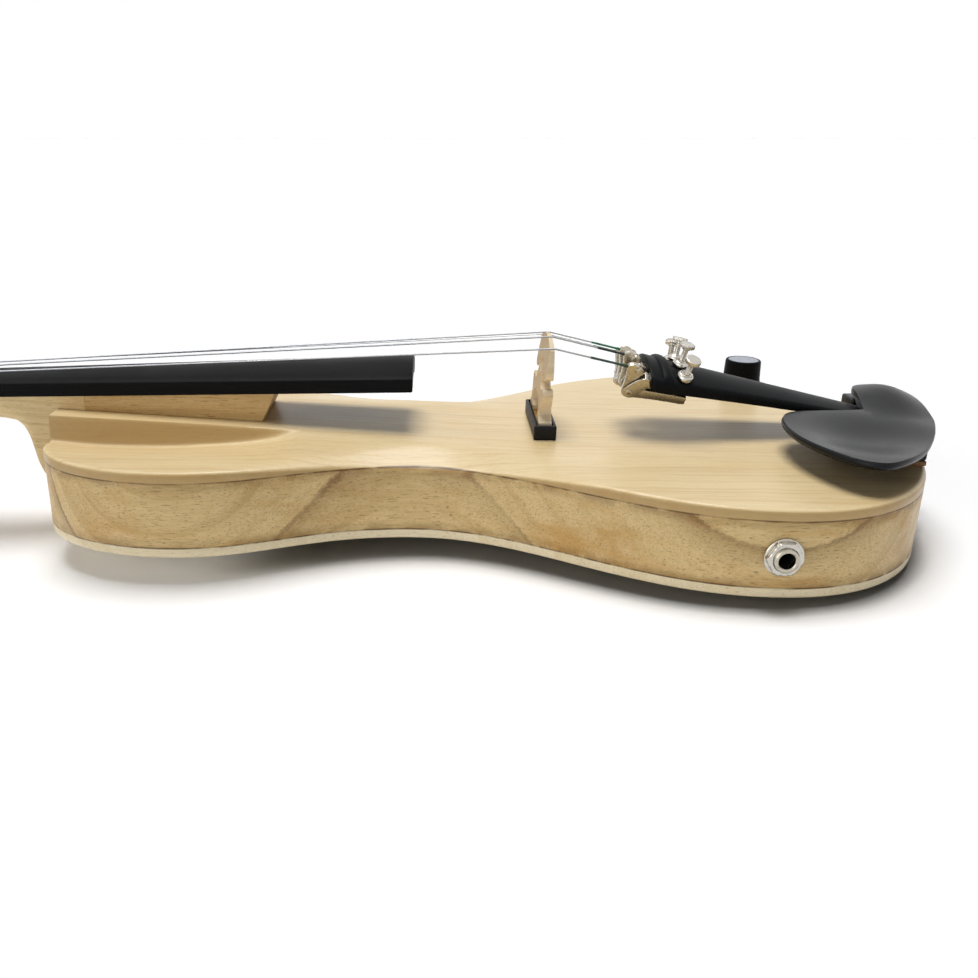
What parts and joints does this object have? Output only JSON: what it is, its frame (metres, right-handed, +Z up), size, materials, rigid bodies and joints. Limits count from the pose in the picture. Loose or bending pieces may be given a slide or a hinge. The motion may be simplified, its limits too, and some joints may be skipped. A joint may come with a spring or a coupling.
{
  "type": "electric violin",
  "caption": "Four-string electric violin with a flat-backed board body, carved top, bridge pickup, fine tuners, chinrest, volume knob and side jack.",
  "frame": {"origin": "point of the flat back face straight under the bridge", "axes": "+X from the bridge to the tail, -Y the bass side, +Z up from the back to the strings"},
  "size_m": [0.6147, 0.2137, 0.0818],
  "materials": {
    "top_wood": "satin clear lacquer",
    "rib_wood": "satin clear lacquer",
    "back_wood": "satin clear lacquer",
    "neck_wood": "oiled",
    "bridge_wood": "bare maple",
    "ebony": "polished black",
    "black_plastic": "satin",
    "knob_black": "satin",
    "nickel": "polished",
    "steel": "brushed",
    "string_steel": "wound",
    "cork": "raw cork",
    "gut": "satin",
    "lead": "matt",
    "piezo": "dull"
  },
  "bodies": {
    "root": {"back_board": "back_wood", "body_core": "rib_wood", "bridge": "bridge_wood", "chinrest": "black_plastic", "chinrest_cork_bass": "cork", "chinrest_cork_treble": "cork", "clamp_bracket_back": "nickel", "clamp_bracket_top": "nickel", "clamp_cork_back": "cork", "end_button": "ebony", "fingerboard": "ebony", "fingerboard_riser": "top_wood", "jack_body": "nickel", "jack_lead": "lead", "jack_nut": "nickel", "jack_washer": "nickel", "neck": "neck_wood", "nut": "ebony", "pickup_lead": "lead", "pickup_strip": "piezo", "pickup_tray": "black_plastic", "pot_case": "steel", "pot_nut": "nickel", "pot_washer": "nickel", "saddle": "ebony", "soundboard": "top_wood", "string_a": "string_steel", "string_d": "string_steel", "string_e": "string_steel", "string_g": "string_steel", "tailgut": "gut", "tailpiece": "black_plastic", "tuner_bracket_a": "nickel", "tuner_bracket_d": "nickel", "tuner_bracket_e": "nickel", "tuner_bracket_g": "nickel", "tuner_nut_a": "nickel", "tuner_nut_d": "nickel", "tuner_nut_e": "nickel", "tuner_nut_g": "nickel"},
    "peg_g": {"peg_g": "ebony", "winding_g": "string_steel"},
    "peg_d": {"peg_d": "ebony", "winding_d": "string_steel"},
    "peg_a": {"peg_a": "ebony", "winding_a": "string_steel"},
    "peg_e": {"peg_e": "ebony", "winding_e": "string_steel"},
    "volume_knob": {"volume_knob": "knob_black", "pot_shaft": "steel"},
    "tuner_screw_g": {"tuner_screw_g": "nickel"},
    "tuner_lever_g": {"tuner_lever_g": "nickel"},
    "tuner_screw_d": {"tuner_screw_d": "nickel"},
    "tuner_lever_d": {"tuner_lever_d": "nickel"},
    "tuner_screw_a": {"tuner_screw_a": "nickel"},
    "tuner_lever_a": {"tuner_lever_a": "nickel"},
    "tuner_screw_e": {"tuner_screw_e": "nickel"},
    "tuner_lever_e": {"tuner_lever_e": "nickel"},
    "clamp_barrel_bass": {"clamp_barrel_bass": "nickel"},
    "clamp_barrel_treble": {"clamp_barrel_treble": "nickel"}
  },
  "joints": [
    {"name": "peg_g_turn", "type": "hinge", "parent": "root", "child": "peg_g", "pos_m": [-0.34568, 0, 0.03293], "axis": [0, 1, 0], "continuous": true},
    {"name": "peg_d_turn", "type": "hinge", "parent": "root", "child": "peg_d", "pos_m": [-0.37428, 0, 0.03188], "axis": [0, 1, 0], "continuous": true},
    {"name": "peg_a_turn", "type": "hinge", "parent": "root", "child": "peg_a", "pos_m": [-0.38728, 0, 0.03139], "axis": [0, 1, 0], "continuous": true},
    {"name": "peg_e_turn", "type": "hinge", "parent": "root", "child": "peg_e", "pos_m": [-0.3592, 0, 0.03243], "axis": [0, 1, 0], "continuous": true},
    {"name": "volume_turn", "type": "hinge", "parent": "root", "child": "volume_knob", "pos_m": [0.1185, 0.08, 0.05], "axis": [0, 0, 1], "range_deg": [-150, 150]},
    {"name": "tuner_g_screw", "type": "slide", "parent": "root", "child": "tuner_screw_g", "axis": [-0.1937, 0.4316, -0.881], "range_m": [0, 0.004]},
    {"name": "tuner_g_lever", "type": "hinge", "parent": "root", "child": "tuner_lever_g", "pos_m": [0.03798, -0.00979, 0.05639], "axis": [0.0927, 0.9021, 0.4215], "range_deg": [0, 10.7]},
    {"name": "tuner_d_screw", "type": "slide", "parent": "root", "child": "tuner_screw_d", "axis": [-0.2123, 0.1478, -0.966], "range_m": [0, 0.004]},
    {"name": "tuner_d_lever", "type": "hinge", "parent": "root", "child": "tuner_lever_d", "pos_m": [0.03774, -0.00337, 0.05845], "axis": [0.0317, 0.989, 0.1444], "range_deg": [0, 10.7]},
    {"name": "tuner_a_screw", "type": "slide", "parent": "root", "child": "tuner_screw_a", "axis": [-0.2123, -0.1478, -0.966], "range_m": [0, 0.004]},
    {"name": "tuner_a_lever", "type": "hinge", "parent": "root", "child": "tuner_lever_a", "pos_m": [0.03774, 0.00337, 0.05845], "axis": [-0.0317, 0.989, -0.1444], "range_deg": [0, 10.7]},
    {"name": "tuner_e_screw", "type": "slide", "parent": "root", "child": "tuner_screw_e", "axis": [-0.1937, -0.4316, -0.881], "range_m": [0, 0.004]},
    {"name": "tuner_e_lever", "type": "hinge", "parent": "root", "child": "tuner_lever_e", "pos_m": [0.03798, 0.00979, 0.05639], "axis": [-0.0927, 0.9021, -0.4215], "range_deg": [0, 10.7]},
    {"name": "clamp_barrel_bass_turn", "type": "hinge", "parent": "root", "child": "clamp_barrel_bass", "pos_m": [0.172, -0.019, 0.0175], "axis": [0, 0, 1], "continuous": true},
    {"name": "clamp_barrel_treble_turn", "type": "hinge", "parent": "root", "child": "clamp_barrel_treble", "pos_m": [0.172, 0.019, 0.0175], "axis": [0, 0, 1], "continuous": true}
  ],
  "couplings": [
    {"joint": "tuner_g_lever", "follows": "tuner_g_screw", "rad_per_m": 46.5},
    {"joint": "tuner_d_lever", "follows": "tuner_d_screw", "rad_per_m": 46.5},
    {"joint": "tuner_a_lever", "follows": "tuner_a_screw", "rad_per_m": 46.5},
    {"joint": "tuner_e_lever", "follows": "tuner_e_screw", "rad_per_m": 46.5}
  ]
}
